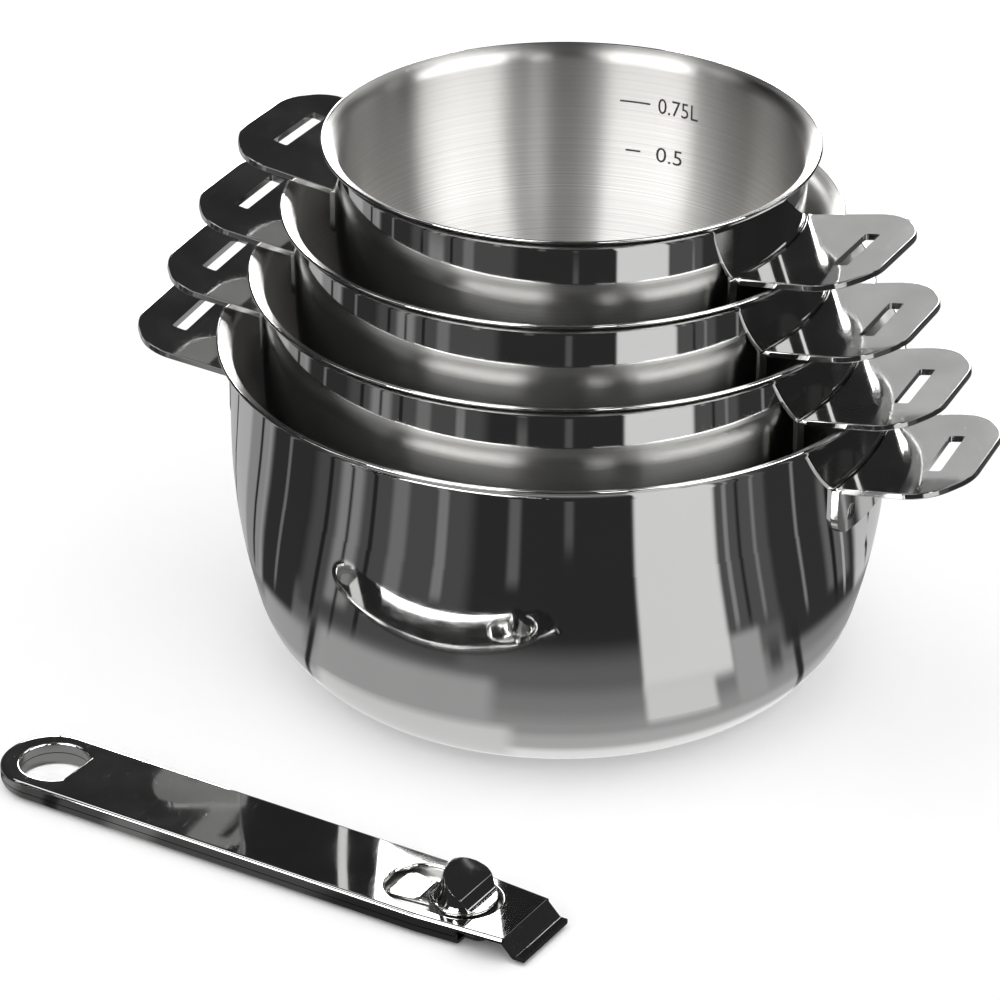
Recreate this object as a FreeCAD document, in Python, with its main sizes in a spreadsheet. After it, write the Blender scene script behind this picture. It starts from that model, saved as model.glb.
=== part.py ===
"""Nesting set of four saucepans with slotted ears and one clip-on handle. FreeCAD 1.1, millimetres.

Row frame: the origin is the centre of the largest pan's base, on the table. +X runs along the
largest pan's ears and +Z is up. Each smaller pan hangs in the next larger one by its ears.
"""
import FreeCAD, Part
import math
import os
import Sketcher

Vector = FreeCAD.Vector

DIMENSIONS = {
    # pans: bore radius and height of the smallest, and how much each next pan grows
    "bore_small": 70, "bore_pitch": 10, "height_small": 76.5, "height_pitch": 10,
    "nest_pitch": 21.4,                   # from one pan's rim to the next smaller pan's rim
    # the smallest pan sits a little aside, and so a little higher
    "aside_x": 1.95, "aside_y": 1.3, "aside_high": 0.3,
    "sheet": 0.9,                         # wall thickness of a pan
    "lip_reach": 5, "lip_bend": 4, "lip_angle": 68, "lip_rise": 5.15,
    "straight_share": 0.29,               # part of the height above the belly
    "belly_share": 1.8,                   # radius of the upper belly, as a share of the height
    "upper_turn": 16, "lower_turn": 48,   # how far each belly arc leans in, in degrees
    "floor_bend": 8,
    # capsule base: aluminium core in a steel cup
    "base_high": 5, "base_skin": 0.8, "core_inset": 10,
    # ears: a tilted plate with a slot, and a tab welded to the wall
    "ear_sheet": 2.0, "ear_tilt": 10.2, "slot_reach": 18.4, "slot_depth": 17.5,
    "slot_long": 24.8, "slot_wide": 4.8, "slot_corner": 0.8,
    "ear_front": 13.7, "ear_front_half": 15.2, "ear_side": 3.8, "ear_side_half": 29.2,
    "ear_root": 36, "ear_root_half": 25.0, "ear_front_round": 17, "ear_side_round": 14,
    "tab_half": 27, "tab_low": 37, "tab_round": 6, "shoulder": 1.6, "ear_edge": 0.35,
    "weld_angle": 11, "weld_drop": 31, "weld_ball": 8, "weld_dent": 0.45,
    # how far each smaller pan is turned from the next larger one
    "turn_one": -1.1, "turn_two": -3.05, "turn_three": -5.1,
    # handle, along its own X from the hanging end
    "tip_left": -121.4, "tip_near": -137.3, "handle_angle": -8.8,
    "grip_half": 15.2, "grip_high": 6.8, "deck": 1.4, "skirt": 1.3, "parting": 3.4, "seam": 0.25,
    "deck_round": 1.25, "opening_round": 0.7, "belly_round": 3.0, "floor_sheet": 1.0, "shell_end": 165,
    "taper_start": 152, "tongue_half": 13.2, "bend_line": 179.7,
    "hook_low": 184.2, "hook_end": 186.6, "foot_half": 12.1, "foot_top": 2.3, "foot_sheet": 1.5,
    "bend_outer": 1.8, "bend_inner": 0.7,
    "hole_middle": 16.6, "hole_radius": 10.6, "hole_chord": 7.8, "collar": 1.3,
    "recess_left": 145.4, "recess_right": 159.7, "recess_half": 10.7,
    "tray_low": 3.4, "tray_sheet": 0.7, "tray_wall": 1.0, "tray_rear": 131,
    "tray_front": 169.8,
    "knob_middle": 159.4, "knob_radius": 9.8, "knob_low": 4.4, "knob_shelf": 7.0,
    "crest_middle": 163.6, "crest_radius": 9.2, "crest_high": 17.4,
    "crease_high": 11.8, "scoop_radius": 8.5, "scoop_front": 170, "scoop_low": 6.4,
    "apron_rear": 136.8, "apron_rise": 147.0, "apron_front": 156.0, "apron_half": 6.9,
    "apron_high": 8.4,
    "rivet_radius": 2.6, "rivet_high": 9.0, "travel": 8.5, "play": 0.5,
    "lock_low": 1.5, "lock_sheet": 1.4, "lock_half": 10.4, "lock_rear": 138, "lock_tip": 172,
    "lock_round": 3, "rod_radius": 0.35, "rod_rear": 124, "axis_high": 2.2,
    "coil_radius": 0.7, "wire_radius": 0.18, "coil_rear": 130.2, "coil_turns": 6, "coil_pitch": 1.2,
    "stop_rear": 117, "stop_front": 121, "stop_half": 5, "stop_hole": 0.9,
    "post_radius": 1.8, "post_first": 38, "post_pitch": 30,
}
PANS = ("pan_14", "pan_16", "pan_18", "pan_20")
POSTS = 3


class Size:
    """A dimension that carries both its number and its expression on the sheet."""

    def __init__(self, number, text):
        self.number = number
        self.text = text

    def __add__(self, other):
        return merge(self, other, "+", self.number + value(other))

    def __sub__(self, other):
        return merge(self, other, "-", self.number - value(other))

    def __mul__(self, other):
        return merge(self, other, "*", self.number * value(other))

    def __truediv__(self, other):
        return merge(self, other, "/", self.number / value(other))

    def __neg__(self):
        return Size(-self.number, f"(0 - {self.text})")


def value(item):
    return item.number if isinstance(item, Size) else item


def text(item):
    return item.text if isinstance(item, Size) else f"{item}"


def merge(first, second, sign, number):
    return Size(number, f"({text(first)} {sign} {text(second)})")


def size(name):
    return Size(DIMENSIONS[name], f"Sizes.{name}")


def sine(angle):
    return Size(math.sin(math.radians(value(angle))), f"sin({text(angle)} * 1 deg)")


def cosine(angle):
    return Size(math.cos(math.radians(value(angle))), f"cos({text(angle)} * 1 deg)")


def root(square):
    return Size(math.sqrt(value(square)), f"sqrt({text(square)})")


def bind(item, path, amount):
    """Ties a property to its expression on the sheet, or sets a plain number."""
    if isinstance(amount, Size):
        item.setExpression(path, amount.text)
    else:
        item.setExpression(path, f"{amount}")


def fill_sheet(doc):
    sheet = doc.addObject("Spreadsheet::Sheet", "Sizes")
    for row, (name, number) in enumerate(DIMENSIONS.items(), start=1):
        sheet.set(f"A{row}", name)
        sheet.set(f"B{row}", str(number))
        sheet.setAlias(f"B{row}", name)
    doc.recompute()


def body(label):
    item = doc.addObject("PartDesign::Body", label)
    item.Label = label
    nodes.append(item)
    return item


def new_sketch(owner, role, shift=(0, 0, 0), tilt=0):
    """A sketch on one of the body's own planes, moved along it by shift and tilted about Y."""
    sketch = owner.newObject("Sketcher::SketchObject", "Sketch")
    plane = [item for item in owner.Origin.OriginFeatures if item.Role == role][0]
    sketch.AttachmentSupport = [(plane, "")]
    sketch.MapMode = "FlatFace"
    sketch.AttachmentOffset = FreeCAD.Placement(
        Vector(*[value(step) for step in shift]), FreeCAD.Rotation(Vector(0, 1, 0), -value(tilt)))
    for axis, step in zip("xyz", shift):
        bind(sketch, f"AttachmentOffset.Base.{axis}", step)
    return sketch


def draw(sketch, corners):
    """Draws a closed outline. A corner is (x, y), or (x, y, radius, side) where the edge that
    leaves it is an arc with its centre on the left (side 1) or on the right (side -1)."""
    first = sketch.GeometryCount
    count = len(corners)
    ends = []
    for index, corner in enumerate(corners):
        here = Vector(value(corner[0]), value(corner[1]), 0)
        there = corners[(index + 1) % count]
        there = Vector(value(there[0]), value(there[1]), 0)
        if len(corner) == 2:
            sketch.addGeometry(Part.LineSegment(here, there))
            ends.append((1, 2))
            continue
        radius, side = value(corner[2]), corner[3]
        chord = there - here
        rise = math.sqrt(max(radius ** 2 - (chord.Length / 2) ** 2, 0))
        left = Vector(-chord.y, chord.x, 0).normalize()
        centre = (here + there) / 2 + left * (rise * side)
        start, stop = (here, there) if side == 1 else (there, here)
        low = math.atan2(start.y - centre.y, start.x - centre.x)
        high = math.atan2(stop.y - centre.y, stop.x - centre.x)
        if high < low:
            high += 2 * math.pi
        sketch.addGeometry(Part.ArcOfCircle(Part.Circle(centre, Vector(0, 0, 1), radius), low, high))
        ends.append((1, 2) if side == 1 else (2, 1))
    for index, corner in enumerate(corners):
        edge = first + index
        after = (index + 1) % count
        sketch.addConstraint(Sketcher.Constraint(
            "Coincident", edge, ends[index][1], first + after, ends[after][0]))
        for kind, amount in (("DistanceX", corner[0]), ("DistanceY", corner[1])):
            number = sketch.addConstraint(Sketcher.Constraint(
                kind, -1, 1, edge, ends[index][0], value(amount)))
            if isinstance(amount, Size):
                bind(sketch, f"Constraints[{number}]", amount)
        if len(corner) == 4:
            number = sketch.addConstraint(Sketcher.Constraint("Radius", edge, value(corner[2])))
            if isinstance(corner[2], Size):
                bind(sketch, f"Constraints[{number}]", corner[2])


def circle(sketch, x, y, radius):
    edge = sketch.addGeometry(Part.Circle(Vector(value(x), value(y), 0), Vector(0, 0, 1), value(radius)))
    for kind, amount in (("DistanceX", x), ("DistanceY", y)):
        number = sketch.addConstraint(Sketcher.Constraint(kind, -1, 1, edge, 3, value(amount)))
        bind(sketch, f"Constraints[{number}]", amount)
    number = sketch.addConstraint(Sketcher.Constraint("Radius", edge, value(radius)))
    bind(sketch, f"Constraints[{number}]", radius)


def feature(owner, kind, sketch):
    item = owner.newObject(f"PartDesign::{kind}", kind)
    item.Profile = sketch
    sketch.Visibility = False
    return item


def revolve(owner, sketch):
    item = feature(owner, "Revolution", sketch)
    item.ReferenceAxis = (sketch, ["V_Axis"])
    item.Angle = 360
    return item


def pad(owner, sketch, length, midplane=False):
    item = feature(owner, "Pad", sketch)
    bind(item, "Length", length)
    item.Midplane = midplane
    return item


def cut_through(owner, sketch):
    item = feature(owner, "Pocket", sketch)
    item.Type = 1
    item.Midplane = True
    return item


def edges_where(shape, test):
    return [f"Edge{number}" for number, edge in enumerate(shape.Edges, start=1) if test(edge)]


def fillet(owner, test, radius):
    """Rounds the edges of the body's last feature that pass the test."""
    doc.recompute()
    base = owner.Tip
    names = edges_where(base.Shape, test)
    if not names:
        raise RuntimeError(f"{owner.Label}: no edge to round")
    item = owner.newObject("PartDesign::Fillet", "Fillet")
    item.Base = (base, names)
    bind(item, "Radius", radius)
    return item


def place(item, base, angle):
    item.Placement = FreeCAD.Placement(
        Vector(*[value(step) for step in base]), FreeCAD.Rotation(Vector(0, 0, 1), value(angle)))
    for axis, step in zip("xyz", base):
        bind(item, f"Placement.Base.{axis}", step)
    bind(item, "Placement.Rotation.Angle", angle)


class Pan:
    """The sizes of one pan, worked out from its step in the set, 0 for the smallest."""

    def __init__(self, step):
        self.step = step
        self.bore = size("bore_small") + size("bore_pitch") * step
        self.outer = self.bore + size("sheet")
        self.rim = self.bore + size("lip_reach")
        self.high = size("height_small") + size("height_pitch") * step
        self.base = [Size(0, "0"), Size(0, "0"), (size("nest_pitch") + size("height_pitch")) * (3 - step)]
        if step == 0:
            self.base = [size("aside_x"), size("aside_y"), self.base[2] + size("aside_high")]
        turns = (size("turn_three"), size("turn_two"), size("turn_one"), Size(0, "0"))
        self.turn = turns[step]
        # belly: an upper arc of large radius, then a lower arc down to the base
        self.belly_top = self.high * (Size(1, "1") - size("straight_share"))
        self.upper = self.high * size("belly_share")
        self.waist = self.outer - self.upper * (Size(1, "1") - cosine(size("upper_turn")))
        self.waist_high = self.belly_top - self.upper * sine(size("upper_turn"))
        self.lower = (self.waist_high - size("base_high")) / (
            sine(size("lower_turn")) - sine(size("upper_turn")))
        self.foot = self.waist - self.lower * (
            cosine(size("upper_turn")) - cosine(size("lower_turn")))


def pan_shell(name, pan):
    """One deep-drawn steel sheet: flat floor, rounded belly, straight wall and flared lip."""
    sheet, bend, lean = size("sheet"), size("lip_bend"), size("lip_angle")
    one = Size(1, "1")
    neck = pan.high - size("lip_rise")
    arc_out = (pan.outer + bend * (one - cosine(lean)), neck + bend * sine(lean))
    arc_in = (pan.outer + bend - (bend + sheet) * cosine(lean), neck + (bend + sheet) * sine(lean))
    run = (pan.rim - sheet / 2 - (arc_out[0] + arc_in[0]) / 2) / sine(lean)
    nose_out = (arc_out[0] + run * sine(lean), arc_out[1] + run * cosine(lean))
    nose_in = (arc_in[0] + run * sine(lean), arc_in[1] + run * cosine(lean))
    # inside, the lower belly arc runs into the floor through a tangent bend
    middle = (pan.waist - pan.lower * cosine(size("upper_turn")),
              pan.waist_high + pan.lower * sine(size("upper_turn")))
    floor = size("base_high") + sheet
    drop = middle[1] - floor - size("floor_bend")
    reach = pan.lower - sheet - size("floor_bend")
    aside = root(reach * reach - drop * drop)
    bend_middle = middle[0] + aside
    meet = (bend_middle + size("floor_bend") * aside / reach,
            floor + size("floor_bend") - size("floor_bend") * drop / reach)
    waist_in = (pan.waist - sheet * cosine(size("upper_turn")),
                pan.waist_high + sheet * sine(size("upper_turn")))
    shell = body(f"{name}_shell")
    sketch = new_sketch(shell, "XZ_Plane")
    draw(sketch, [
        (0, size("base_high")),
        (pan.foot, size("base_high"), pan.lower, 1),
        (pan.waist, pan.waist_high, pan.upper, 1),
        (pan.outer, pan.belly_top),
        (pan.outer, neck, bend, -1),
        arc_out,
        (nose_out[0], nose_out[1], sheet / 2, 1),
        nose_in,
        (arc_in[0], arc_in[1], bend + sheet, 1),
        (pan.bore, neck),
        (pan.bore, pan.belly_top, pan.upper - sheet, -1),
        (waist_in[0], waist_in[1], pan.lower - sheet, -1),
        (meet[0], meet[1], size("floor_bend"), -1),
        (bend_middle, floor),
        (0, floor),
    ])
    revolve(shell, sketch)
    place(shell, pan.base, pan.turn)


def pan_base(name, pan):
    """The capsule under the floor: a steel cup that carries on the belly, around a core disc."""
    one = Size(1, "1")
    corner = size("base_high") / (one - sine(size("lower_turn")))
    flat = pan.foot - corner * cosine(size("lower_turn"))
    core_radius = pan.foot - size("core_inset")
    cup = body(f"{name}_base_cup")
    sketch = new_sketch(cup, "XZ_Plane")
    draw(sketch, [
        (0, 0),
        (flat, 0, corner, 1),
        (pan.foot, size("base_high")),
        (core_radius, size("base_high")),
        (core_radius, size("base_skin")),
        (0, size("base_skin")),
    ])
    revolve(cup, sketch)
    place(cup, pan.base, pan.turn)
    core = body(f"{name}_base_core")
    disc = new_sketch(core, "XY_Plane", (0, 0, size("base_skin")))
    circle(disc, 0, 0, core_radius)
    pad(core, disc, size("base_high") - size("base_skin"))
    place(core, pan.base, pan.turn)


def rounded(corners):
    """Replaces corners given as (x, y, radius) by two tangent points joined by an arc."""
    points = []
    count = len(corners)
    for index, corner in enumerate(corners):
        if len(corner) == 2:
            points.append(corner)
            continue
        here = Vector(value(corner[0]), value(corner[1]), 0)
        before = corners[index - 1]
        after = corners[(index + 1) % count]
        back = Vector(value(before[0]), value(before[1]), 0) - here
        ahead = Vector(value(after[0]), value(after[1]), 0) - here
        half = back.getAngle(ahead) / 2
        cut = value(corner[2]) / math.tan(half)
        side = 1 if back.cross(ahead).z < 0 else -1
        back.normalize()
        ahead.normalize()
        enter = here + back * cut
        leave = here + ahead * cut
        points.append((enter.x, enter.y, corner[2], side))
        points.append((leave.x, leave.y))
    return points


def ear_outline():
    """The plate seen square on, from the slot's middle: broad at the wall, rounded outside."""
    root_back, root_half = -size("ear_root"), size("ear_root_half")
    side, side_half = size("ear_side"), size("ear_side_half")
    front, front_half = size("ear_front"), size("ear_front_half")
    return rounded([
        (root_back, -root_half),
        (side, -side_half, size("ear_side_round")),
        (front, -front_half, size("ear_front_round")),
        (front, front_half, size("ear_front_round")),
        (side, side_half, size("ear_side_round")),
        (root_back, root_half),
    ])


def pan_ear(name, side, pan):
    """A steel bracket: a plate that rises outward, its slot, and the tab welded to the wall."""
    ear = body(f"{name}_ear_{side}")
    sheet, tilt = size("ear_sheet"), size("ear_tilt")
    slot_at = pan.rim + size("slot_reach")
    slot_high = pan.high - size("slot_depth")
    back = pan.outer + sheet
    # the tab follows the wall, from the plate down
    half, low, bend = size("tab_half"), pan.high - size("tab_low"), size("tab_round")
    top = slot_high - (slot_at - pan.outer) * sine(tilt) / cosine(tilt)
    tab = new_sketch(ear, "YZ_Plane")
    draw(tab, rounded([(-half, low, bend), (half, low, bend), (half, top), (-half, top)]))
    pad(ear, tab, slot_at)
    outside = new_sketch(ear, "XY_Plane")
    circle(outside, 0, 0, slot_at * 2)
    circle(outside, 0, 0, back)
    cut_through(ear, outside)
    plate = new_sketch(ear, "XY_Plane", (slot_at, 0, slot_high), tilt)
    draw(plate, ear_outline())
    pad(ear, plate, sheet, midplane=True)
    wall = new_sketch(ear, "XY_Plane")
    circle(wall, 0, 0, pan.outer)
    cut_through(ear, wall)
    wall_number, top_number = value(pan.outer), value(top)
    fillet(ear, lambda edge: on_shoulder(edge, wall_number, top_number), size("shoulder"))
    faces_at = (value(slot_at), value(slot_high), value(back))
    fillet(ear, lambda edge: on_plate_edge(edge, faces_at), size("ear_edge"))
    slot = new_sketch(ear, "XY_Plane", (slot_at, 0, 0))
    across, along, corner = size("slot_wide") / 2, size("slot_long") / 2, size("slot_corner")
    draw(slot, rounded([(-across, -along, corner), (across, -along, corner),
                        (across, along, corner), (-across, along, corner)]))
    cut_through(ear, slot)
    for turn in (1, -1):
        weld = ear.newObject("PartDesign::SubtractiveSphere", "Weld")
        reach = back + size("weld_ball") - size("weld_dent")
        bind(weld, "Radius", size("weld_ball"))
        bind(weld, "Placement.Base.x", reach * cosine(size("weld_angle")))
        bind(weld, "Placement.Base.y", reach * sine(size("weld_angle")) * turn)
        bind(weld, "Placement.Base.z", pan.high - size("weld_drop"))
    turn = pan.turn + Size(180, "180") if side == "left" else pan.turn
    place(ear, pan.base, turn)


def on_shoulder(edge, wall, top):
    """True for the edge where the plate's top face meets the pan's wall."""
    middle = edge.CenterOfMass
    ends = [vertex.Point for vertex in edge.Vertexes]
    on_wall = all(abs(math.hypot(point.x, point.y) - wall) < 0.01 for point in ends)
    return len(ends) == 2 and on_wall and middle.z > top and (ends[0] - ends[1]).Length > 20


def on_plate_edge(edge, faces_at):
    """True for the edges round the plate's two faces, outside the wall and its shoulder."""
    slot_at, slot_high, back = faces_at
    tilt = math.radians(DIMENSIONS["ear_tilt"])
    middle = edge.CenterOfMass
    if math.hypot(middle.x, middle.y) < back + DIMENSIONS["shoulder"]:
        return False
    points = [vertex.Point for vertex in edge.Vertexes] + [middle]
    rises = [(point.z - slot_high) * math.cos(tilt) - (point.x - slot_at) * math.sin(tilt)
             for point in points]
    return all(abs(abs(rise) - DIMENSIONS["ear_sheet"] / 2) < 0.01 for rise in rises)


def put_on_table(item):
    place(item, (size("tip_left"), size("tip_near"), 0), size("handle_angle"))


def grip_outline(inset, end):
    """The handle's plan, inset by an amount: a round hanging end, straight sides, a slow taper."""
    half = size("grip_half") - inset
    middle = size("grip_half")
    side = root(half * half)
    narrow = size("tongue_half") - inset
    span = size("bend_line") - size("taper_start")
    slope = (half - narrow) / span
    end_half = half - slope * (end - size("taper_start"))
    return [
        (middle, side, side, 1),
        (inset, 0, side, 1),
        (middle, -side),
        (size("taper_start"), -half),
        (end, -end_half),
        (end, end_half),
        (size("taper_start"), half),
    ]


def hole_outline(grow):
    """The hanging hole: round towards the tip, straight towards the grip."""
    radius = size("hole_radius") + grow
    chord = size("hole_chord") + grow
    high = root(radius * radius - chord * chord)
    middle = size("hole_middle")
    return [
        (middle + chord, high, radius, 1),
        (middle - radius, 0, radius, 1),
        (middle + chord, -high),
    ]


def recess_outline(grow, half):
    left, right = size("recess_left"), size("recess_right")
    radius = half + grow
    return [
        (left, radius, radius, 1),
        (left - radius, 0, radius, 1),
        (left, -radius),
        (right, -radius, radius, 1),
        (right + radius, 0, radius, 1),
        (right, radius),
    ]


def on_opening(edge, high):
    """True for the top edges of the hanging hole and of the thumb recess."""
    slack = 0.01
    middle, radius = DIMENSIONS["hole_middle"], DIMENSIONS["hole_radius"] + slack
    half = DIMENSIONS["recess_half"] + slack
    left, right = DIMENSIONS["recess_left"] - half, DIMENSIONS["recess_right"] + half
    points = [vertex.Point for vertex in edge.Vertexes]
    on_hole = all(math.hypot(point.x - middle, point.y) < radius for point in points)
    on_recess = all(left < point.x < right and abs(point.y) < half for point in points)
    return edge.BoundBox.ZMin > high - slack and (on_hole or on_recess)


def handle_top():
    """The upper shell: deck, turned-down skirt, hanging-hole collar, tongue and hook."""
    top = body("handle_top_shell")
    under = size("grip_high") - size("deck")
    skirt_low = size("parting") + size("seam")
    deck = new_sketch(top, "XY_Plane", (0, 0, skirt_low))
    draw(deck, grip_outline(Size(0, "0"), size("shell_end")))
    pad(top, deck, size("grip_high") - skirt_low)
    hollow = new_sketch(top, "XY_Plane", (0, 0, skirt_low))
    draw(hollow, grip_outline(size("skirt"), size("shell_end") + size("skirt")))
    draw(hollow, hole_outline(size("collar")))
    inside = feature(top, "Pocket", hollow)
    inside.Reversed = True
    bind(inside, "Length", under - skirt_low)
    tongue = new_sketch(top, "XY_Plane", (0, 0, under))
    half = size("grip_half")
    narrow = size("tongue_half")
    slope = (half - narrow) / (size("bend_line") - size("taper_start"))
    start = size("shell_end") - size("skirt") * 4
    start_half = half - slope * (start - size("taper_start"))
    draw(tongue, [(start, -start_half), (size("bend_line"), -narrow), (size("bend_line"), narrow),
                  (start, start_half)])
    pad(top, tongue, size("deck"))
    edge_high = value(size("grip_high"))
    limit = value(size("bend_line")) - 0.01
    fillet(top, lambda edge: abs(edge.BoundBox.ZMin - edge_high) < 0.01
           and edge.CenterOfMass.x < limit, size("deck_round"))
    hook = new_sketch(top, "XZ_Plane")
    foot_low = size("foot_top") - size("foot_sheet")
    fall = size("deck")
    outer, inner = size("bend_outer"), size("bend_inner")
    draw(hook, rounded([
        (size("bend_line") - fall, under, inner),
        (size("hook_low") - fall, foot_low, outer),
        (size("hook_end"), foot_low),
        (size("hook_end"), size("foot_top")),
        (size("hook_low"), size("foot_top"), inner),
        (size("bend_line"), size("grip_high"), outer),
        (size("bend_line") - fall * 3, size("grip_high")),
        (size("bend_line") - fall * 3, under),
    ]))
    pad(top, hook, size("foot_half") * 2, midplane=True)
    openings = new_sketch(top, "XY_Plane")
    draw(openings, hole_outline(Size(0, "0")))
    draw(openings, recess_outline(Size(0, "0"), size("recess_half")))
    cut_through(top, openings)
    fillet(top, lambda edge: on_opening(edge, edge_high), size("opening_round"))
    put_on_table(top)


def handle_bottom():
    """The lower shell: a pan with a rounded belly, open at the front for the lock plate."""
    bottom = body("handle_bottom_shell")
    outline = new_sketch(bottom, "XY_Plane")
    draw(outline, grip_outline(Size(0, "0"), size("shell_end")))
    pad(bottom, outline, size("parting"))
    end = value(size("shell_end")) - 0.01
    fillet(bottom, lambda edge: abs(edge.BoundBox.ZMax) < 0.01 and edge.CenterOfMass.x < end,
           size("belly_round"))
    hollow = new_sketch(bottom, "XY_Plane", (0, 0, size("floor_sheet")))
    draw(hollow, grip_outline(size("skirt") + size("floor_sheet") / 2, size("shell_end") + size("skirt")))
    draw(hollow, hole_outline(size("collar")))
    inside = feature(bottom, "Pocket", hollow)
    inside.Reversed = True
    bind(inside, "Length", size("parting"))
    hole = new_sketch(bottom, "XY_Plane")
    draw(hole, hole_outline(Size(0, "0")))
    cut_through(bottom, hole)
    put_on_table(bottom)


def slide_tray():
    """The channel under the thumb recess, with the slot that the knob's rivet runs in. It is open
    at the rear, where the knob's apron slides under the deck."""
    tray = body("slide_tray")
    under = size("grip_high") - size("deck")
    blank = new_sketch(tray, "XY_Plane", (0, 0, size("tray_low")))
    half = size("recess_half") + size("tray_wall")
    rear, front = size("tray_rear"), size("tray_front")
    draw(blank, [(rear, -half), (front, -half), (front, half), (rear, half)])
    pad(tray, blank, under - size("tray_low"))
    well = new_sketch(tray, "XY_Plane", (0, 0, size("tray_low") + size("tray_sheet")))
    inner = size("recess_half")
    before, past = rear - size("tray_wall"), front + size("tray_wall")
    draw(well, [(before, -inner), (past, -inner), (past, inner), (before, inner)])
    inside = feature(tray, "Pocket", well)
    inside.Reversed = True
    bind(inside, "Length", under)
    slot = new_sketch(tray, "XY_Plane")
    room = size("rivet_radius") + size("play")
    front_end = size("knob_middle")
    back_end = size("knob_middle") - size("travel")
    draw(slot, [(back_end, room, room, 1), (back_end - room, 0, room, 1), (back_end, -room),
                (front_end, -room, room, 1), (front_end + room, 0, room, 1), (front_end, room)])
    cut_through(tray, slot)
    put_on_table(tray)


def thumb_knob():
    """The slider's knob: a round shelf, a crest that slopes forward, a thumb scoop and an apron."""
    knob = body("thumb_knob")
    low = size("knob_low")
    shelf = new_sketch(knob, "XY_Plane", (0, 0, low))
    circle(shelf, size("knob_middle"), 0, size("knob_radius"))
    pad(knob, shelf, size("knob_shelf") - low)
    crest = new_sketch(knob, "XY_Plane", (0, 0, low))
    circle(crest, size("crest_middle"), 0, size("crest_radius"))
    pad(knob, crest, size("crest_high") - low)
    outside = new_sketch(knob, "XY_Plane")
    circle(outside, size("knob_middle"), 0, size("knob_radius") * 3)
    circle(outside, size("knob_middle"), 0, size("knob_radius"))
    cut_through(knob, outside)
    # the slope on top of the crest, and the scoop in front of it
    rear, front = size("crest_middle") - size("crest_radius"), size("scoop_front")
    above = size("crest_high") + size("play")
    cut = new_sketch(knob, "XZ_Plane")
    draw(cut, [
        (rear, size("crest_high")),
        (size("crest_middle"), size("crease_high"), size("scoop_radius"), 1),
        (front, size("scoop_low")),
        (front, above),
        (rear, above),
    ])
    cut_through(knob, cut)
    apron = new_sketch(knob, "XZ_Plane")
    draw(apron, [
        (size("apron_rear"), low),
        (size("apron_front"), low),
        (size("apron_front"), size("apron_high")),
        (size("apron_rise"), low + size("tray_sheet")),
        (size("apron_rear"), low + size("tray_sheet")),
    ])
    pad(knob, apron, size("apron_half") * 2, midplane=True)
    bore = new_sketch(knob, "XY_Plane", (0, 0, low))
    circle(bore, size("knob_middle"), 0, size("rivet_radius"))
    hole = feature(knob, "Pocket", bore)
    hole.Reversed = True
    bind(hole, "Length", size("rivet_high") - low)
    put_on_table(knob)


def knob_rivet():
    """The shouldered pin that joins the knob to the lock plate."""
    rivet = body("knob_rivet")
    outline = new_sketch(rivet, "XY_Plane", (0, 0, size("lock_low")))
    circle(outline, size("knob_middle"), 0, size("rivet_radius"))
    pad(rivet, outline, size("rivet_high") - size("lock_low"))
    put_on_table(rivet)


def lock_plate():
    """The sliding plate that closes under a pan's ear, with the spring's guide rod behind it."""
    plate = body("lock_plate")
    outline = new_sketch(plate, "XY_Plane", (0, 0, size("lock_low")))
    half, rear, tip = size("lock_half"), size("lock_rear"), size("lock_tip")
    draw(outline, rounded([(rear, -half), (tip, -half, size("lock_round")), (tip, half, size("lock_round")),
                           (rear, half)]))
    circle(outline, size("knob_middle"), 0, size("rivet_radius"))
    pad(plate, outline, size("lock_sheet"))
    rod = new_sketch(plate, "YZ_Plane", (0, 0, size("rod_rear")))
    circle(rod, 0, size("axis_high"), size("rod_radius"))
    pad(plate, rod, rear - size("rod_rear") + size("play"))
    put_on_table(plate)


def spring_stop():
    """The block fixed between the shells that the spring pushes against."""
    stop = body("spring_stop")
    outline = new_sketch(stop, "XY_Plane", (0, 0, size("floor_sheet")))
    half, rear, front = size("stop_half"), size("stop_rear"), size("stop_front")
    draw(outline, [(rear, -half), (front, -half), (front, half), (rear, half)])
    pad(stop, outline, size("grip_high") - size("deck") - size("floor_sheet"))
    hole = new_sketch(stop, "YZ_Plane")
    circle(hole, 0, size("axis_high"), size("stop_hole"))
    cut_through(stop, hole)
    put_on_table(stop)


def lock_spring():
    """The coil that holds the lock plate forward, drawn as short as it is when pulled back."""
    coil = doc.addObject("Part::Helix", "SpringPath")
    bind(coil, "Radius", size("coil_radius"))
    bind(coil, "Pitch", size("coil_pitch"))
    bind(coil, "Height", size("coil_pitch") * size("coil_turns"))
    wire = doc.addObject("Part::Circle", "SpringWire")
    bind(wire, "Radius", size("wire_radius"))
    wire.Placement = FreeCAD.Placement(Vector(value(size("coil_radius")), 0, 0),
                                       FreeCAD.Rotation(Vector(1, 0, 0), 90))
    bind(wire, "Placement.Base.x", size("coil_radius"))
    sweep = doc.addObject("Part::Sweep", "lock_spring")
    sweep.Sections = [wire]
    sweep.Spine = coil
    sweep.Solid = True
    sweep.Frenet = True
    lie_down = FreeCAD.Placement(Vector(DIMENSIONS["coil_rear"], 0, DIMENSIONS["axis_high"]),
                                 FreeCAD.Rotation(Vector(0, 1, 0), 90))
    table = FreeCAD.Placement(Vector(DIMENSIONS["tip_left"], DIMENSIONS["tip_near"], 0),
                              FreeCAD.Rotation(Vector(0, 0, 1), DIMENSIONS["handle_angle"]))
    sweep.Placement = table.multiply(lie_down)
    sweep.Label = "lock_spring"
    nodes.append(sweep)


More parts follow.
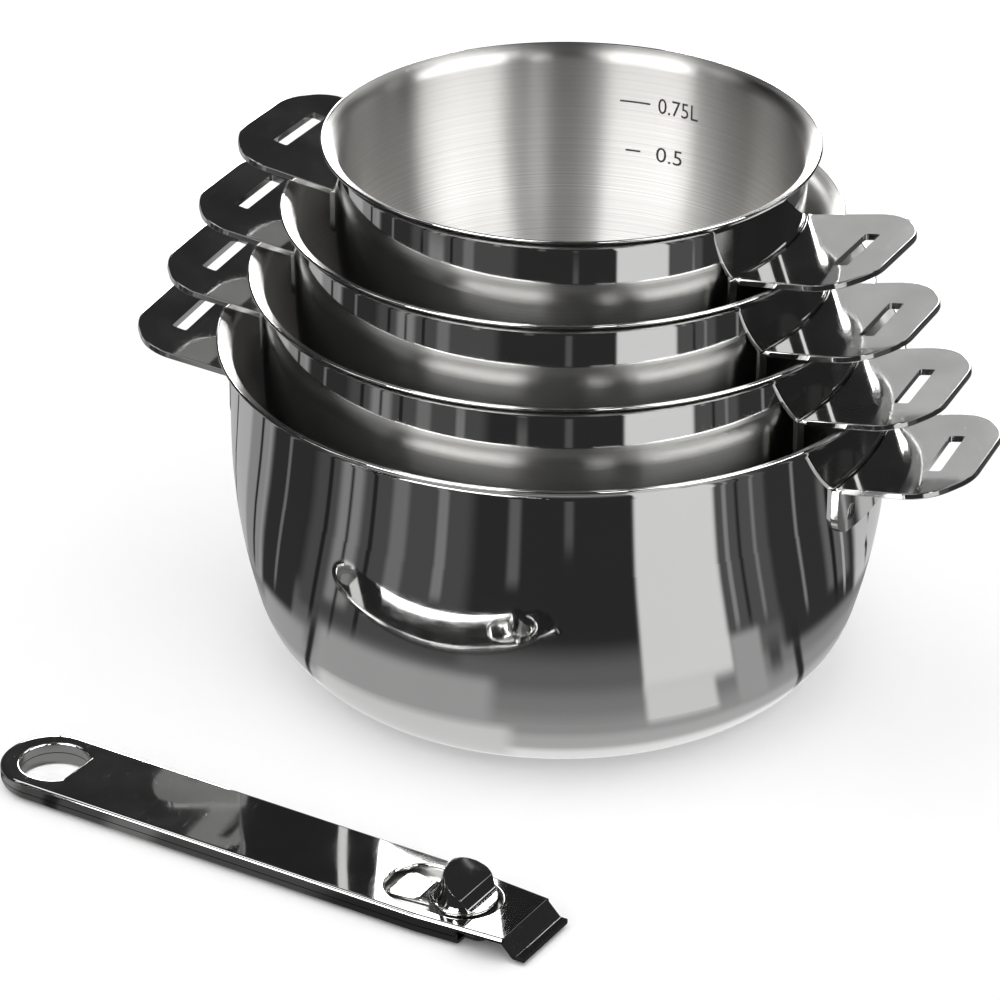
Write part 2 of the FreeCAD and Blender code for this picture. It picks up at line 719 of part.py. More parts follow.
def shell_posts():
    """Three identical posts that hold the two shells of the handle together."""
    posts = doc.addObject("Part::Compound", "shell_posts")
    items = []
    for index in range(POSTS):
        post = doc.addObject("Part::Cylinder", "Post")
        bind(post, "Radius", size("post_radius"))
        bind(post, "Height", size("grip_high") - size("deck") - size("floor_sheet"))
        bind(post, "Placement.Base.x", size("post_first") + size("post_pitch") * index)
        bind(post, "Placement.Base.z", size("floor_sheet"))
        items.append(post)
    posts.Links = items
    posts.Label = "shell_posts"
    put_on_table(posts)
    nodes.append(posts)


def check_and_write():
    doc.recompute()
    for item in doc.Objects:
        if "Invalid" in item.State or "Error" in item.State:
            raise RuntimeError(f"{item.Label} failed: {item.State}")
    os.makedirs("parts", exist_ok=True)
    for item in nodes:
        if item.Shape.isNull() or not item.Shape.isValid() or not item.Shape.Solids:
            raise RuntimeError(f"{item.Label} has no valid solid")
    for item in nodes:
        item.Shape.exportStep(f"parts/{item.Label}.step")
        box = item.Shape.BoundBox
        print(f"{item.Label:24s} {len(item.Shape.Solids)} solids {item.Shape.Volume:9.0f} mm3  "
              f"x {box.XMin:7.1f} {box.XMax:7.1f}  y {box.YMin:7.1f} {box.YMax:7.1f}  "
              f"z {box.ZMin:6.1f} {box.ZMax:6.1f}")


doc = FreeCAD.newDocument("SaucepanSet")
nodes = []
fill_sheet(doc)
for step, name in enumerate(PANS):
    pan = Pan(step)
    pan_shell(name, pan)
    pan_base(name, pan)
    for side in ("left", "right"):
        pan_ear(name, side, pan)
handle_top()
handle_bottom()
slide_tray()
thumb_knob()
knob_rivet()
lock_plate()
spring_stop()
lock_spring()
shell_posts()
check_and_write()
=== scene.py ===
import math

import bpy
from mathutils import Matrix, Vector


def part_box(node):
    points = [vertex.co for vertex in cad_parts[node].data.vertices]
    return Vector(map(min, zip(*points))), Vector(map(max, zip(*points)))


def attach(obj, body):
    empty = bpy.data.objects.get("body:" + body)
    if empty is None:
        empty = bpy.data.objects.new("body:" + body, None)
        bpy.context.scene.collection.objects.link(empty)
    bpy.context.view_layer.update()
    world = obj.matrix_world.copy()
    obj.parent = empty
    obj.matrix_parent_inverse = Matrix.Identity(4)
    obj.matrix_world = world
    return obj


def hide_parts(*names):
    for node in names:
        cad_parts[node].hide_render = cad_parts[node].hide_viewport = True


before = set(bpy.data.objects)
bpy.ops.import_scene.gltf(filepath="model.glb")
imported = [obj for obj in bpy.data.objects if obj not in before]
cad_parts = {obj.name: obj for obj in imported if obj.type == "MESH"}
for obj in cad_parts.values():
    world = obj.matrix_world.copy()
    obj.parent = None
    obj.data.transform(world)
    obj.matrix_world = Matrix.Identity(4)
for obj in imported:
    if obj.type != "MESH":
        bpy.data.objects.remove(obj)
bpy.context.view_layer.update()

MM = 0.001
PANS = ("pan_14", "pan_16", "pan_18", "pan_20")
SMALL_HIGH = 76.5 * MM
BORES = {"pan_14": 70 * MM, "pan_16": 80 * MM, "pan_18": 90 * MM, "pan_20": 100 * MM}


# ---------------------------------------------------------------- materials

QUARTER_TURN = 0.25
# the satin fades into the rim's polish between these distances outside the bore
SATIN_FADES, SATIN_ENDS = 3.9 * MM, 4.6 * MM


class Nodes:
    """A material's node tree, with one call for each kind of node used here."""

    def __init__(self, name):
        self.material = bpy.data.materials.new(name)
        self.material.use_nodes = True
        self.tree = self.material.node_tree
        self.tree.nodes.clear()
        self.output = self.tree.nodes.new("ShaderNodeOutputMaterial")

    def add(self, kind, **settings):
        node = self.tree.nodes.new(kind)
        for key, item in settings.items():
            setattr(node, key, item)
        return node

    def feed(self, socket, source):
        if isinstance(source, bpy.types.NodeSocket):
            self.tree.links.new(source, socket)
        else:
            socket.default_value = source

    def math(self, operation, *sources, clamp=False):
        node = self.add("ShaderNodeMath", operation=operation, use_clamp=clamp)
        for socket, source in zip(node.inputs, sources):
            self.feed(socket, source)
        return node.outputs[0]

    def vector(self, operation, *sources):
        node = self.add("ShaderNodeVectorMath", operation=operation)
        for socket, source in zip(node.inputs, sources):
            self.feed(socket, source)
        return node.outputs["Value"] if operation in ("DOT_PRODUCT", "LENGTH") else node.outputs[0]

    def split(self, source):
        node = self.add("ShaderNodeSeparateXYZ")
        self.feed(node.inputs[0], source)
        return node.outputs

    def join(self, x, y, z):
        node = self.add("ShaderNodeCombineXYZ")
        for socket, source in zip(node.inputs, (x, y, z)):
            self.feed(socket, source)
        return node.outputs[0]

    def noise(self, vector, scale, detail=2.0, rough=0.5, dimensions="3D"):
        node = self.add("ShaderNodeTexNoise", noise_dimensions=dimensions)
        if dimensions == "1D":
            self.feed(node.inputs["W"], vector)
        else:
            self.feed(node.inputs["Vector"], vector)
        node.inputs["Scale"].default_value = scale
        node.inputs["Detail"].default_value = detail
        node.inputs["Roughness"].default_value = rough
        return node.outputs[0]

    def ramp(self, source, low, high, to_low=0.0, to_high=1.0, smooth=False):
        node = self.add("ShaderNodeMapRange")
        if smooth:
            node.interpolation_type = "SMOOTHSTEP"
        for socket, item in zip(node.inputs, (source, low, high, to_low, to_high)):
            self.feed(socket, item)
        return node.outputs[0]

    def mix(self, factor, first, second):
        node = self.add("ShaderNodeMix", data_type="RGBA")
        self.feed(node.inputs[0], factor)
        self.feed(node.inputs[6], first)
        self.feed(node.inputs[7], second)
        return node.outputs[2]

    def bump(self, height, strength, distance):
        node = self.add("ShaderNodeBump")
        node.inputs["Strength"].default_value = strength
        node.inputs["Distance"].default_value = distance
        self.feed(node.inputs["Height"], height)
        return node.outputs[0]

    def metal(self, colour, roughness, normal, brushed_along=None):
        """Bare metal; with a tangent, its highlights spread across the brushing."""
        node = self.add("ShaderNodeBsdfPrincipled")
        node.inputs["Metallic"].default_value = 1.0
        self.feed(node.inputs["Base Color"], colour)
        self.feed(node.inputs["Roughness"], roughness)
        if brushed_along is not None:
            node.inputs["Anisotropic"].default_value = 1.0
            node.inputs["Anisotropic Rotation"].default_value = QUARTER_TURN
            self.feed(node.inputs["Tangent"], brushed_along)
        self.feed(node.inputs["Normal"], normal)
        self.feed(self.output.inputs[0], node.outputs[0])


def pan_steel(name):
    """Polished outside, satin inside with the fine turned lines that a pan is brushed with, and painted
    shade that darkens the inside towards the rim.
    """
    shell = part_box(f"{name}_shell")
    centre = (shell[0] + shell[1]) / 2
    n = Nodes(f"{name}_steel")
    coords = n.add("ShaderNodeTexCoord")
    place = n.vector("SUBTRACT", coords.outputs["Object"], (centre.x, centre.y, shell[0].z))
    x, y, z = n.split(place)
    flat = n.join(x, y, 0.0)
    radius = n.vector("LENGTH", flat)
    outward = n.vector("NORMALIZE", flat)
    facing = coords.outputs["Normal"]
    lean = n.math("SUBTRACT", n.vector("DOT_PRODUCT", facing, outward), n.split(facing)[2])
    edge = n.ramp(radius, BORES[name] + SATIN_FADES, BORES[name] + SATIN_ENDS, 1.0, 0.0, smooth=True)
    inner = n.math("MULTIPLY", n.math("LESS_THAN", lean, 0.0), edge)
    # along the profile: up the wall, and out across the floor
    along = n.math("ADD", z, radius)
    sway = n.noise(place, 9.0, 1.0)
    along = n.math("ADD", along, n.math("MULTIPLY", sway, 0.0016))
    coarse = n.noise(along, 1700.0, 3.0, 0.65, "1D")
    fine = n.noise(along, 6500.0, 2.0, 0.6, "1D")
    lines = n.math("ADD", n.math("MULTIPLY", coarse, 0.6), n.math("MULTIPLY", fine, 0.4))
    cloud = n.noise(place, 22.0, 3.0)
    rub = n.noise(n.vector("MULTIPLY", place, (1.0, 1.0, 3.0)), 160.0, 4.0, 0.6)
    polished = n.ramp(rub, 0.35, 0.8, 0.022, 0.05)
    satin = n.math("ADD", n.ramp(lines, 0.3, 0.7, 0.28, 0.36), n.ramp(cloud, 0.3, 0.7, 0.0, 0.05))
    rough = n.math("ADD", n.math("MULTIPLY", inner, satin),
                   n.math("MULTIPLY", n.math("SUBTRACT", 1.0, inner), polished))
    tone = n.mix(n.ramp(lines, 0.32, 0.68), (0.52, 0.512, 0.50, 1), (0.80, 0.79, 0.775, 1))
    high = shell[1].z - shell[0].z
    # painted shade: the inside's colour darkens towards the rim, standing in for the light fading on
    # the wall under the lip
    tone = n.mix(n.ramp(z, high * 0.35, high * 0.96, 0.0, 0.75), tone, (0.40, 0.395, 0.385, 1))
    colour = n.mix(inner, n.mix(cloud, (0.66, 0.66, 0.655, 1), (0.72, 0.72, 0.715, 1)), tone)
    normal = n.bump(n.math("MULTIPLY", lines, inner), 0.25, 0.00004)
    tangent = n.add("ShaderNodeTangent", direction_type="RADIAL", axis="Z")
    n.metal(colour, rough, normal, tangent.outputs[0])
    return n.material


def polished_steel(name, low, high):
    """Buffed plate: a mirror with faint smudges, hairline scratches and a slight waviness."""
    n = Nodes(name)
    place = n.add("ShaderNodeTexCoord").outputs["Object"]
    smudge = n.noise(place, 45.0, 4.0, 0.6)
    hair = n.noise(n.vector("MULTIPLY", place, (1.0, 0.05, 0.6)), 2600.0, 2.0, 0.6)
    rough = n.math("ADD", n.ramp(smudge, 0.35, 0.75, low, high), n.ramp(hair, 0.62, 0.8, 0.0, 0.1))
    colour = n.mix(smudge, (0.60, 0.60, 0.594, 1), (0.70, 0.70, 0.6895, 1))
    wave = n.noise(place, 60.0, 1.0)
    relief = n.math("ADD", n.math("MULTIPLY", wave, 0.5), n.math("MULTIPLY", hair, 0.03))
    normal = n.bump(relief, 0.12, 0.0001)
    n.metal(colour, rough, normal)
    return n.material


def rolled_metal(name, colour, low, high):
    """Mill-finished metal with rolling marks along one direction."""
    n = Nodes(name)
    place = n.add("ShaderNodeTexCoord").outputs["Object"]
    grain = n.noise(n.vector("MULTIPLY", place, (0.06, 1.0, 1.0)), 2200.0, 3.0, 0.6)
    cloud = n.noise(place, 50.0, 3.0)
    patchy = n.math("ADD", n.math("MULTIPLY", grain, 0.6), n.math("MULTIPLY", cloud, 0.4))
    rough = n.ramp(patchy, 0.3, 0.7, low, high)
    darker = tuple(part * 0.82 for part in colour)
    tone = n.mix(grain, (*darker, 1), (*colour, 1))
    n.metal(tone, rough, n.bump(grain, 0.2, 0.00004))
    return n.material


def pad_ink(name):
    """Matt black print, a little worn."""
    n = Nodes(name)
    place = n.add("ShaderNodeTexCoord").outputs["Object"]
    wear = n.noise(place, 900.0, 3.0, 0.7)
    shader = n.add("ShaderNodeBsdfPrincipled")
    colour = n.mix(n.ramp(wear, 0.45, 0.8), (0.02, 0.02, 0.022, 1), (0.07, 0.07, 0.072, 1))
    n.feed(shader.inputs["Base Color"], colour)
    n.feed(shader.inputs["Roughness"], n.ramp(wear, 0.3, 0.7, 0.4, 0.6))
    n.feed(shader.inputs["Normal"], n.bump(wear, 0.15, 0.00002))
    n.feed(n.output.inputs[0], shader.outputs[0])
    return n.material


def paint(node, material):
    """Gives a CAD node one material."""
    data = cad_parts[node].data
    data.materials.clear()
    data.materials.append(material)


def soften(node, width):
    """Rounds a CAD node's sharp edges a little, as deburring and buffing do."""
    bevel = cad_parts[node].modifiers.new("soften", "BEVEL")
    bevel.width = width
    bevel.segments = 3
    bevel.limit_method = "ANGLE"
    bevel.angle_limit = math.radians(40)
    bevel.harden_normals = True


# ---------------------------------------------------------------- studio

def camera():
    """The photo's camera, as solved from the rims and the ears."""
    sensor, focal_by_width = 36, 4.7898
    data = bpy.data.cameras.new("camera")
    data.sensor_width = sensor
    data.lens = focal_by_width * sensor
    data.clip_end = 30
    item = bpy.data.objects.new("camera", data)
    bpy.context.collection.objects.link(item)
    right = Vector((0.924675, 0.380689, 0.007195))
    up = Vector((-0.183224, 0.428319, 0.884857))
    back = right.cross(up)
    item.matrix_world = Matrix((
        (right.x, up.x, back.x, 0.479156),
        (right.y, up.y, back.y, -1.224631),
        (right.z, up.z, back.z, 0.740782),
        (0, 0, 0, 1)))
    bpy.context.scene.camera = item


def matt_white():
    n = Nodes("table_white")
    shader = n.add("ShaderNodeBsdfPrincipled")
    shader.inputs["Base Color"].default_value = (0.93, 0.93, 0.93, 1)
    shader.inputs["Roughness"].default_value = 0.9
    shader.inputs["Specular IOR Level"].default_value = 0.1
    n.feed(n.output.inputs[0], shader.outputs[0])
    return n.material


def mesh_piece(name, points, faces, material, smooth=False):
    """A new mesh object from points and faces."""
    data = bpy.data.meshes.new(name)
    data.from_pydata(points, [], faces)
    data.validate()
    data.update()
    if smooth:
        data.shade_smooth()
    data.materials.append(material)
    item = bpy.data.objects.new(name, data)
    bpy.context.collection.objects.link(item)
    return item


CAMERA_AZIMUTH = math.atan2(-1.2246, 0.4792)
STUDIO_REACH = 2.0
# how bright the surroundings are for the steel, and for the table
DARK_ROOM, WHITE_ROOM = 0.03, 1.14

# What the steel sees on the table, by direction (degrees from the camera's side, + to its
# right) and distance from the pans' axis in mm: from, to, near, far, brightness, edge in degrees
FLOOR_ZONES = (
    (-76, -24, 134, 900, 0.085, 5),
    (-66, -58, 150, 420, 0.28, 3),
    (-48, -43, 170, 520, 0.20, 2),
    (-34, -31, 190, 340, 0.24, 1),
    (-66, -15, 100, 128, 0.42, 5),
    (-63, -10, 78, 100, 0.75, 5),
    (-97, -78, 120, 900, 0.035, 2),
    (-95, -71, 98, 118, 0.40, 4),
    (-142, -98, 120, 900, 0.50, 5),
    (-112, -99, 120, 900, 0.30, 3),
    (21, 45, 120, 900, 0.85, 1.5),
    (21, 39, 101, 124, 0.78, 2),
    (45, 54, 98, 146, 0.42, 2),
    (45, 62, 146, 900, 0.10, 3),
    (62, 98, 120, 900, 0.04, 3),
    (82, 94, 140, 260, 0.16, 3),
    (98, 140, 120, 240, 0.62, 4),
    (98, 140, 240, 900, 0.08, 6),
    (140, 218, 120, 900, 0.36, 10),
)
# how the table brightens towards the pan's foot: distance in mm, softness, brightness
FOOT_GLOW = ((148, 30, 0.15), (122, 14, 0.25), (109, 10, 0.36), (96, 8, 0.52), (85, 5, 0.95))
# thin stands and cables on the table: direction, near, far, half width in degrees, brightness
FLOOR_BARS = (
    (-70, 128, 420, 0.8, 0.02), (-62, 128, 380, 0.5, 0.02), (-54, 135, 460, 0.7, 0.02),
    (-88, 130, 600, 0.6, 0.2), (-104, 125, 500, 0.8, 0.03), (-126, 120, 380, 0.7, 0.05),
    (-68, 86, 132, 1.2, 0.03), (66, 86, 128, 1.4, 0.03), (58, 112, 126, 2.0, 0.04),
    (48, 150, 300, 0.6, 0.30), (52, 150, 380, 0.5, 0.02), (57, 150, 420, 0.5, 0.26),
    (72, 140, 420, 0.5, 0.30), (86, 130, 300, 1.0, 0.02), (91, 130, 320, 0.7, 0.5),
    (108, 130, 360, 0.8, 0.03), (-12, 220, 330, 1.6, 0.14), (3, 260, 420, 1.2, 0.11),
)


def step_up(value, edge, soft):
    """0 below the edge and 1 above it, with a smooth change as wide as soft."""
    part = min(1.0, max(0.0, (value - edge) / soft + 0.5))
    return part * part * (3 - 2 * part)


def floor_light(turn, far):
    """How bright the table looks in the steel, at a direction in degrees and a distance in mm."""

    def within(middle, half, soft, near, near_soft, end, end_soft):
        aside = abs((turn - middle + 180) % 360 - 180)
        across = 1 - step_up(aside, half, soft)
        return across * step_up(far, near, near_soft) * (1 - step_up(far, end, end_soft))

    light = DARK_ROOM
    for edge, soft, level in FOOT_GLOW:
        light += (level - light) * (1 - step_up(far, edge, soft))
    for start, stop, near, end, level, soft in FLOOR_ZONES:
        middle, half = (start + stop) / 2, (stop - start) / 2
        light += (level - light) * within(middle, half, soft, near, 0.08 * near, end, 0.08 * end)
    for middle, near, end, half, level in FLOOR_BARS:
        light += (level - light) * within(middle, half, half, near, 20, end, 30)
    return light


def floor_card():
    """A disc on the table that only the steel sees, as bright as a studio table is in each place."""
    n = Nodes("floor_card")
    glow = n.add("ShaderNodeEmission")
    glow.inputs["Color"].default_value = (1, 1, 1, 1)
    shade = n.add("ShaderNodeAttribute", attribute_name="light")
    n.feed(glow.inputs["Strength"], shade.outputs["Fac"])
    n.feed(n.output.inputs[0], glow.outputs[0])
    around, out = 720, 150
    first, growth = 60, 1.022
    points, faces, lights = [], [], []
    for ring in range(out):
        far = first * growth ** ring
        for index in range(around):
            turn = 360 * index / around
            angle = CAMERA_AZIMUTH + math.radians(turn)
            points.append((far * MM * math.cos(angle), far * MM * math.sin(angle), -0.0002))
            lights.append(floor_light(turn, far))
    for ring in range(out - 1):
        for index in range(around):
            a, b = ring * around + index, ring * around + (index + 1) % around
            faces.append((a, a + around, b + around, b))
    card = mesh_piece("floor_card", points, faces, n.material)
    layer = card.data.attributes.new("light", "FLOAT", "POINT")
    layer.data.foreach_set("value", lights)
    card.visible_camera = False
    card.visible_diffuse = False
    card.visible_shadow = False
    card.visible_transmission = False


def panel(name, azimuth, elevation, wide, tall, level):
    """A softbox that lights the steel only: direction and size in degrees, seen from the pans."""
    up, around = math.radians(elevation), CAMERA_AZIMUTH + math.radians(azimuth)
    place = Vector((math.cos(up) * math.cos(around), math.cos(up) * math.sin(around), math.sin(up)))
    data = bpy.data.lights.new(name, "AREA")
    data.shape = "RECTANGLE"
    data.size = 2 * STUDIO_REACH * math.tan(math.radians(wide / 2))
    data.size_y = 2 * STUDIO_REACH * math.tan(math.radians(tall / 2))
    data.energy = level * math.pi * data.size * data.size_y
    item = bpy.data.objects.new(name, data)
    bpy.context.collection.objects.link(item)
    item.location = place * STUDIO_REACH
    item.rotation_euler = (-place).to_track_quat("-Z", "Y").to_euler()
    item.visible_diffuse = False
    item.visible_camera = False
    return item


def shine_on(panels, name, state):
    """Makes panels light only the ears (INCLUDE), or everything but the ears (EXCLUDE)."""
    group = bpy.data.collections.new(name)
    for pan in PANS:
        for side in ("left", "right"):
            group.objects.link(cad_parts[f"{pan}_ear_{side}"])
    for member in group.collection_objects:
        member.light_linking.link_state = state
    for item in panels:
        item.light_linking.receiver_collection = group


def studio():
    """The table, and the softboxes that the steel mirrors: name, direction, size and brightness."""
    corners = [(-9, -9, -0.0004), (9, -9, -0.0004), (9, 9, -0.0004), (-9, 9, -0.0004)]
    table = mesh_piece("floor", corners, [(0, 1, 2, 3)], matt_white())
    table.visible_glossy = False
    floor_card()
    keys = [
        panel("key_right", 59, 25, 44, 22, 8.5),
        panel("key_left", -40, 25, 42, 22, 8.5),
        panel("high_right", 62, 56, 34, 18, 5.5),
        panel("high_left", -43, 56, 32, 18, 5.5),
    ]
    shine_on(keys, "all_but_ears", "EXCLUDE")
    soft_keys = [
        panel("ear_key_right", 59, 30, 44, 36, 0.6),
        panel("ear_key_left", -40, 30, 42, 36, 0.6),
    ]
    shine_on(soft_keys, "only_ears", "INCLUDE")
    panel("slit", 17, 25, 8, 22, 4.5)
    panel("slit_left", -77, 25, 4, 22, 1.2)
    panel("slit_right", 100, 25, 9, 22, 1.2)
    panel("side_left", -97, 56, 15, 30, 2.0)
    panel("side_right", 152, 50, 20, 24, 1.5)
    panel("back_right", 189.5, 17, 11, 20, 16.0)
    panel("back_left", 170.5, 17, 12, 20, 16.0)
    panel("overhead", 0, 88, 34, 22, 0.3)
    panel("ear_card", 180, 17, 6.4, 20, 0.5)
    panel("strip", 114, 22, 2, 10, 1.5)

    room()


def room():
    """White for the table and for whatever lights it, and dark for the steel."""
    world = bpy.data.worlds.new("studio")
    bpy.context.scene.world = world
    world.use_nodes = True
    tree = world.node_tree
    tree.nodes.clear()
    path = tree.nodes.new("ShaderNodeLightPath")
    shown = tree.nodes.new("ShaderNodeMath")
    shown.operation = "MAXIMUM"
    tree.links.new(path.outputs["Is Camera Ray"], shown.inputs[0])
    tree.links.new(path.outputs["Diffuse Depth"], shown.inputs[1])
    shown.use_clamp = True
    back = tree.nodes.new("ShaderNodeBackground")
    level = tree.nodes.new("ShaderNodeMapRange")
    level.inputs["To Min"].default_value = DARK_ROOM
    level.inputs["To Max"].default_value = WHITE_ROOM
    tree.links.new(shown.outputs[0], level.inputs["Value"])
    tree.links.new(level.outputs[0], back.inputs["Strength"])
    back.inputs[0].default_value = (1, 1, 1, 1)
    output = tree.nodes.new("ShaderNodeOutputWorld")
    tree.links.new(back.outputs[0], output.inputs[0])
    world.cycles.sampling_method = "NONE"


# ---------------------------------------------------------------- volume marks

# the smallest pan's inside: how far down from its rim it is straight, its belly's radius below
# that, and how far the print stands off the wall
STRAIGHT_PART = 0.29 * SMALL_HIGH
BELLY_RADIUS = 1.8 * SMALL_HIGH - 0.9 * MM
PRINT_OFF = 0.09 * MM


def wall_point(centre, shell_top, turn, below):
    """A point just off the inside of the smallest pan: straight at first, then along its belly."""
    belly = max(0.0, below - STRAIGHT_PART)
    drawn_in = BELLY_RADIUS - math.sqrt(BELLY_RADIUS * BELLY_RADIUS - belly * belly)
    radius = BORES["pan_14"] - PRINT_OFF - drawn_in
    place = Vector((radius * math.cos(turn), radius * math.sin(turn), shell_top - below))
    return Vector((centre.x, centre.y, 0)) + place


def volume_mark(name, words, line_mm, line_at, text_at, text_high, below_mm, material):
    """A printed line and its volume, wrapped on the inside of the smallest pan."""
    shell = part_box("pan_14_shell")
    centre = (shell[0] + shell[1]) / 2
    rim, below = shell[1].z, below_mm * MM
    half = 0.3 * MM
    points, faces = [], []
    steps = 8
    for index in range(steps + 1):
        turn = math.radians(line_at) - (line_mm * MM) * index / steps / BORES["pan_14"]
        for rise in (-half, half):
            points.append(wall_point(centre, rim, turn, below - rise))
    for index in range(steps):
        a = index * 2
        faces.append((a, a + 2, a + 3, a + 1))
    line = mesh_piece(f"{name}_line", points, faces, material)
    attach(line, "pan_14")
    curve = bpy.data.curves.new(f"{name}_text", "FONT")
    curve.body = words
    curve.size = 1.0
    curve.resolution_u = 3
    letters = bpy.data.objects.new(f"{name}_draft", curve)
    bpy.context.collection.objects.link(letters)
    bpy.context.view_layer.update()
    data = bpy.data.meshes.new_from_object(letters.evaluated_get(bpy.context.evaluated_depsgraph_get()))
    bpy.data.objects.remove(letters)
    wide = max(vertex.co.x for vertex in data.vertices)
    tall = max(vertex.co.y for vertex in data.vertices)
    start, stop = text_at
    arc = math.radians(start - stop)
    for vertex in data.vertices:
        turn = math.radians(start) - arc * vertex.co.x / wide
        rise = (vertex.co.y / tall - 0.5) * text_high * MM
        vertex.co = wall_point(centre, rim, turn, below - rise)
    data.materials.clear()
    data.materials.append(material)
    text = bpy.data.objects.new(f"{name}_text", data)
    bpy.context.collection.objects.link(text)
    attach(text, "pan_14")


# ---------------------------------------------------------------- the knob

# The knob's sizes in mm and its plan's direction. Lengths along the handle are u, from the
# knob's middle to the hook, and lengths across it are v.
HANDLE_TURN = math.radians(-8.8)
KNOB_RADIUS = 9.8
SCOOP_FRONT = 8.4
APRON_CORNER = 2.5
CREST_AT, CREST_RADIUS = 4.2, 9.2
CREST_HIGH, CREASE_HIGH, SHELF_HIGH, KNOB_LOW = 17.4, 11.8, 7.0, 4.45
APRON_REAR, APRON_RISE, APRON_HALF, APRON_WAIST, APRON_LOW = -22.6, -12.4, 6.9, 5.4, 5.1


def soft_low(first, second, soft):
    """The lower of two heights, with the crease between them rounded."""
    part = min(1.0, max(0.0, 0.5 + 0.5 * (second - first) / soft))
    return second + (first - second) * part - soft * part * (1 - part)


def soft_high(first, second, soft):
    """The higher of two heights, with the crease between them rounded."""
    return -soft_low(-first, -second, soft)


def in_knob(u, v):
    """True inside the knob's plan: its round shelf and the apron behind it."""
    if math.hypot(u, v) < KNOB_RADIUS:
        return True
    share = min(1.0, max(0.0, (-KNOB_RADIUS - u) / (-KNOB_RADIUS - APRON_REAR)))
    corner = max(0.0, APRON_REAR + APRON_CORNER - u)
    round_off = APRON_CORNER - math.sqrt(max(0.0, APRON_CORNER ** 2 - corner ** 2))
    half = APRON_WAIST + (APRON_HALF - APRON_WAIST) * share - round_off
    return APRON_REAR < u < 0 and abs(v) < half


def knob_height(u, v, out, edge, reach_out):
    """Height in mm at a point. out is its distance from the middle of the crest, edge is where
    the crest ends in that direction, and reach_out where the shelf does."""
    top = CREST_HIGH - (u - CREST_AT + CREST_RADIUS) * (CREST_HIGH - CREASE_HIGH) / CREST_RADIUS
    ahead = max(0.0, (SCOOP_FRONT - u) / (SCOOP_FRONT - CREST_AT))
    scoop = SHELF_HIGH - 0.2 + (CREASE_HIGH - SHELF_HIGH + 0.2) * ahead ** 1.9
    share = max(0.0, (reach_out - out) / (reach_out - edge))
    wall = SHELF_HIGH - 0.6 + (CREST_HIGH - SHELF_HIGH + 0.6) * share ** 1.7
    wall -= 6 * max(0.0, out - reach_out)
    if out < edge:
        wall = CREST_HIGH + (edge - out) * 6
    crest = soft_low(soft_low(top, scoop, 0.45), wall, 0.5)
    rise = max(0.0, (u - APRON_RISE) / 9) ** 1.2
    apron = APRON_LOW + 3.3 * rise
    shelf = SHELF_HIGH - 5 * max(0.0, math.hypot(u, v) - KNOB_RADIUS + 0.4)
    return soft_high(crest, soft_high(min(apron, SHELF_HIGH + 1), shelf, 0.5), 0.5)


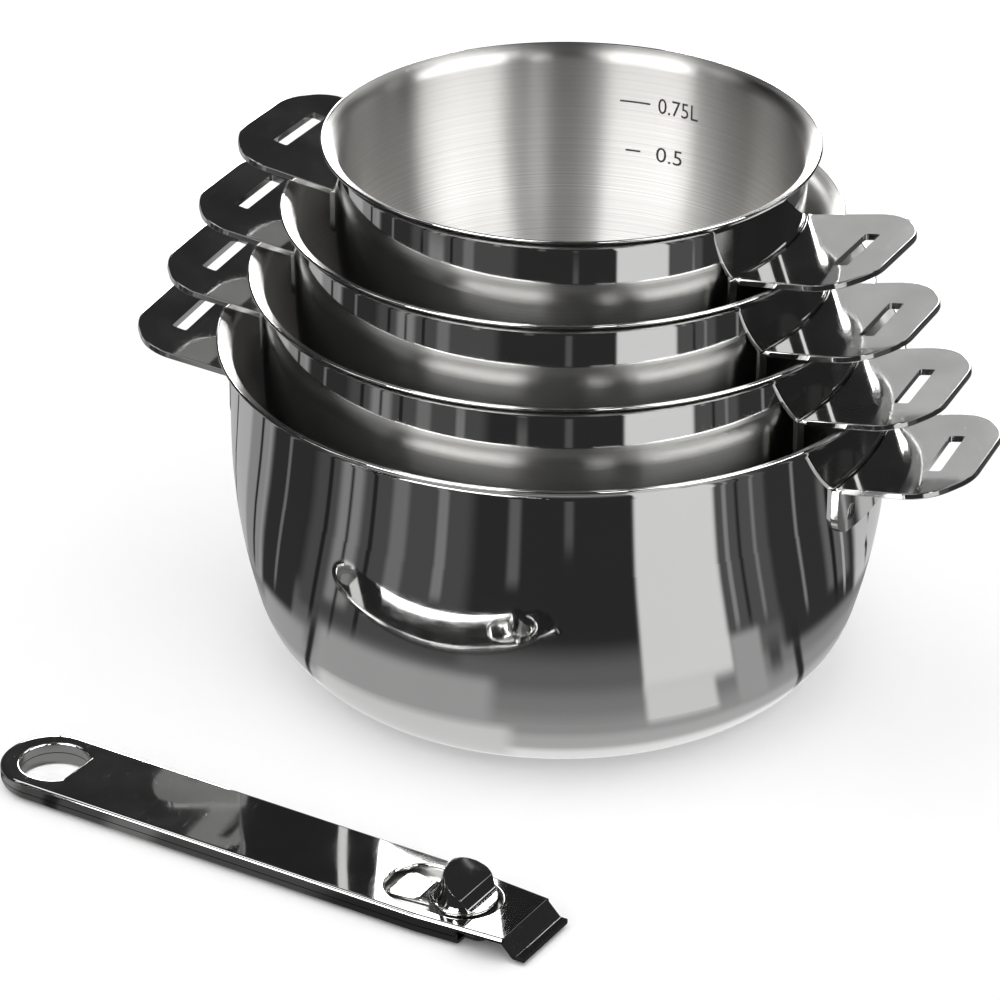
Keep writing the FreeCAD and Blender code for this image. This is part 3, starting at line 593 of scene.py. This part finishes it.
def thumb_piece(material):
    """The cast knob: a sloping thumb face, a hollow in front of it, a fan and an apron behind."""
    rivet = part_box("knob_rivet")
    middle = (rivet[0] + rivet[1]) / 2
    along = Vector((math.cos(HANDLE_TURN), math.sin(HANDLE_TURN), 0)) * MM
    across = Vector((-along.y, along.x, 0))
    around, inside, outside = 288, 50, 46
    rounding = 0.35
    points, faces = [], []

    def add(u, v, high):
        place = Vector((middle.x, middle.y, 0)) + along * u + across * v
        points.append((place.x, place.y, high * MM))

    for index in range(around):
        turn = 2 * math.pi * index / around
        du, dv = math.cos(turn), math.sin(turn)
        far = 0.0
        while in_knob(CREST_AT + far * du, far * dv):
            far += 0.02
        disc = -CREST_AT * du + math.sqrt(KNOB_RADIUS ** 2 - (CREST_AT * dv) ** 2)
        edge = min(CREST_RADIUS, disc - 0.5)
        for ring in range(1, inside + outside + 1):
            if ring <= inside:
                out = edge * ring / inside
            else:
                out = edge + (far - edge) * ((ring - inside) / outside) ** 1.3
            u, v = CREST_AT + out * du, out * dv
            high = knob_height(u, v, out, edge, disc)
            past = max(0.0, out - far + rounding) / rounding
            add(u, v, high - rounding * (1 - math.sqrt(max(0.0, 1 - past * past))))
        add(CREST_AT + far * du, far * dv, KNOB_LOW)
    column = inside + outside + 1
    for index in range(around):
        a, b = index * column, (index + 1) % around * column
        for ring in range(column - 1):
            faces.append((a + ring, a + ring + 1, b + ring + 1, b + ring))
    top = len(points)
    add(CREST_AT, 0, knob_height(CREST_AT, 0, 0, CREST_RADIUS, CREST_RADIUS + 1))
    for index in range(around):
        faces.append((top, index * column, (index + 1) % around * column))
    faces.append(tuple(index * column + column - 1 for index in reversed(range(around))))
    knob = mesh_piece("thumb_piece", points, faces, material, smooth=True)
    knob.data.set_sharp_from_angle(angle=math.radians(50))
    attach(knob, "lock")
    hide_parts("thumb_knob")


# ---------------------------------------------------------------- making

camera()
studio()
bpy.context.scene.view_settings.view_transform = "Standard"

ear_steel = polished_steel("ear_steel", 0.05, 0.11)
handle_steel = polished_steel("handle_steel", 0.03, 0.07)
lock_steel = polished_steel("lock_steel", 0.03, 0.07)
inner_steel = rolled_metal("inner_steel", (0.52, 0.52, 0.51), 0.25, 0.45)
spring_steel = rolled_metal("spring_steel", (0.45, 0.45, 0.46), 0.2, 0.35)
core_metal = rolled_metal("core_metal", (0.78, 0.78, 0.79), 0.3, 0.5)
ink = pad_ink("pad_ink")

for pan in PANS:
    steel = pan_steel(pan)
    paint(f"{pan}_shell", steel)
    paint(f"{pan}_base_cup", steel)
    paint(f"{pan}_base_core", core_metal)
    for side in ("left", "right"):
        paint(f"{pan}_ear_{side}", ear_steel)
for node in ("handle_top_shell", "handle_bottom_shell"):
    paint(node, handle_steel)
paint("thumb_knob", lock_steel)
paint("lock_plate", lock_steel)
soften("lock_plate", 0.3 * MM)
thumb_piece(lock_steel)
for node in ("slide_tray", "shell_posts", "spring_stop", "knob_rivet"):
    paint(node, inner_steel)
paint("lock_spring", spring_steel)

volume_mark("mark_high", "0.75L", 9.9, 98.9, (88.8, 77.2), 5.1, 16.9, ink)
volume_mark("mark_low", "0.5", 4.9, 97.1, (89.0, 81.4), 4.8, 33.2, ink)
